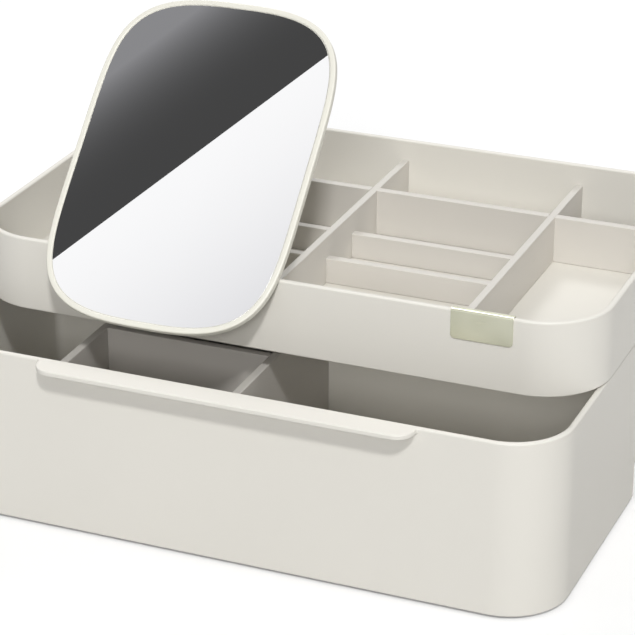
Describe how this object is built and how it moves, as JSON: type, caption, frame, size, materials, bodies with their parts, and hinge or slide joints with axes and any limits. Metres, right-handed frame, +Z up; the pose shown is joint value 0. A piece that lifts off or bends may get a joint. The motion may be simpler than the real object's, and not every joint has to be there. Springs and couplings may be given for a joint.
{
  "type": "makeup organizer",
  "caption": "desktop make-up box: open divided tray over a sliding divided drawer, deep wells at the back, and a leaning mirror hooked on the front rim",
  "frame": {"origin": "on the table under the middle of the whole object, drawer pulled out as in the picture", "axes": "+X across to the viewer's right, +Y from the drawer front to the back, +Z up"},
  "size_m": [0.32, 0.2586, 0.2277],
  "materials": {
    "ivory_shell": "smooth satin moulded, warm white",
    "ivory_divider": "smooth satin moulded, slightly greyer",
    "ivory_frame": "polished moulded, ivory",
    "champagne_metal": "brushed, champagne anodised",
    "silvered_glass": "silvered flat glass",
    "foam_tape": "white foam",
    "grey_rubber": "matt",
    "zinc_steel": "zinc plated"
  },
  "bodies": {
    "housing": {"top_tray": "ivory_shell", "rear_housing": "ivory_shell", "base_plate": "ivory_shell", "badge_plate": "champagne_metal", "tray_divider_left": "ivory_divider", "tray_divider_middle": "ivory_divider", "tray_divider_right": "ivory_divider", "tray_wall_rear": "ivory_divider", "tray_wall_middle": "ivory_divider", "tray_wall_front": "ivory_divider", "tray_screw_left": "zinc_steel", "tray_screw_right": "zinc_steel", "base_screw_front_left": "zinc_steel", "base_screw_front_right": "zinc_steel", "base_screw_back_left": "zinc_steel", "base_screw_back_right": "zinc_steel", "rubber_foot_front_left": "grey_rubber", "rubber_foot_front_right": "grey_rubber", "rubber_foot_back_left": "grey_rubber", "rubber_foot_back_right": "grey_rubber"},
    "drawer": {"drawer_box": "ivory_shell", "drawer_divider_left": "ivory_divider", "drawer_divider_right": "ivory_divider", "drawer_cross_wall": "ivory_divider"},
    "mirror": {"mirror_frame": "ivory_frame", "mirror_glass": "silvered_glass", "mirror_tape": "foam_tape", "mirror_hook": "ivory_frame"}
  },
  "joints": [
    {"name": "drawer_slide", "type": "slide", "parent": "housing", "child": "drawer", "axis": [0, -1, 0], "range_m": [-0.0477, 0.067]},
    {"name": "mirror_lift_off", "type": "slide", "parent": "housing", "child": "mirror", "axis": [0, 0, 1], "range_m": [0, 0.06]}
  ]
}
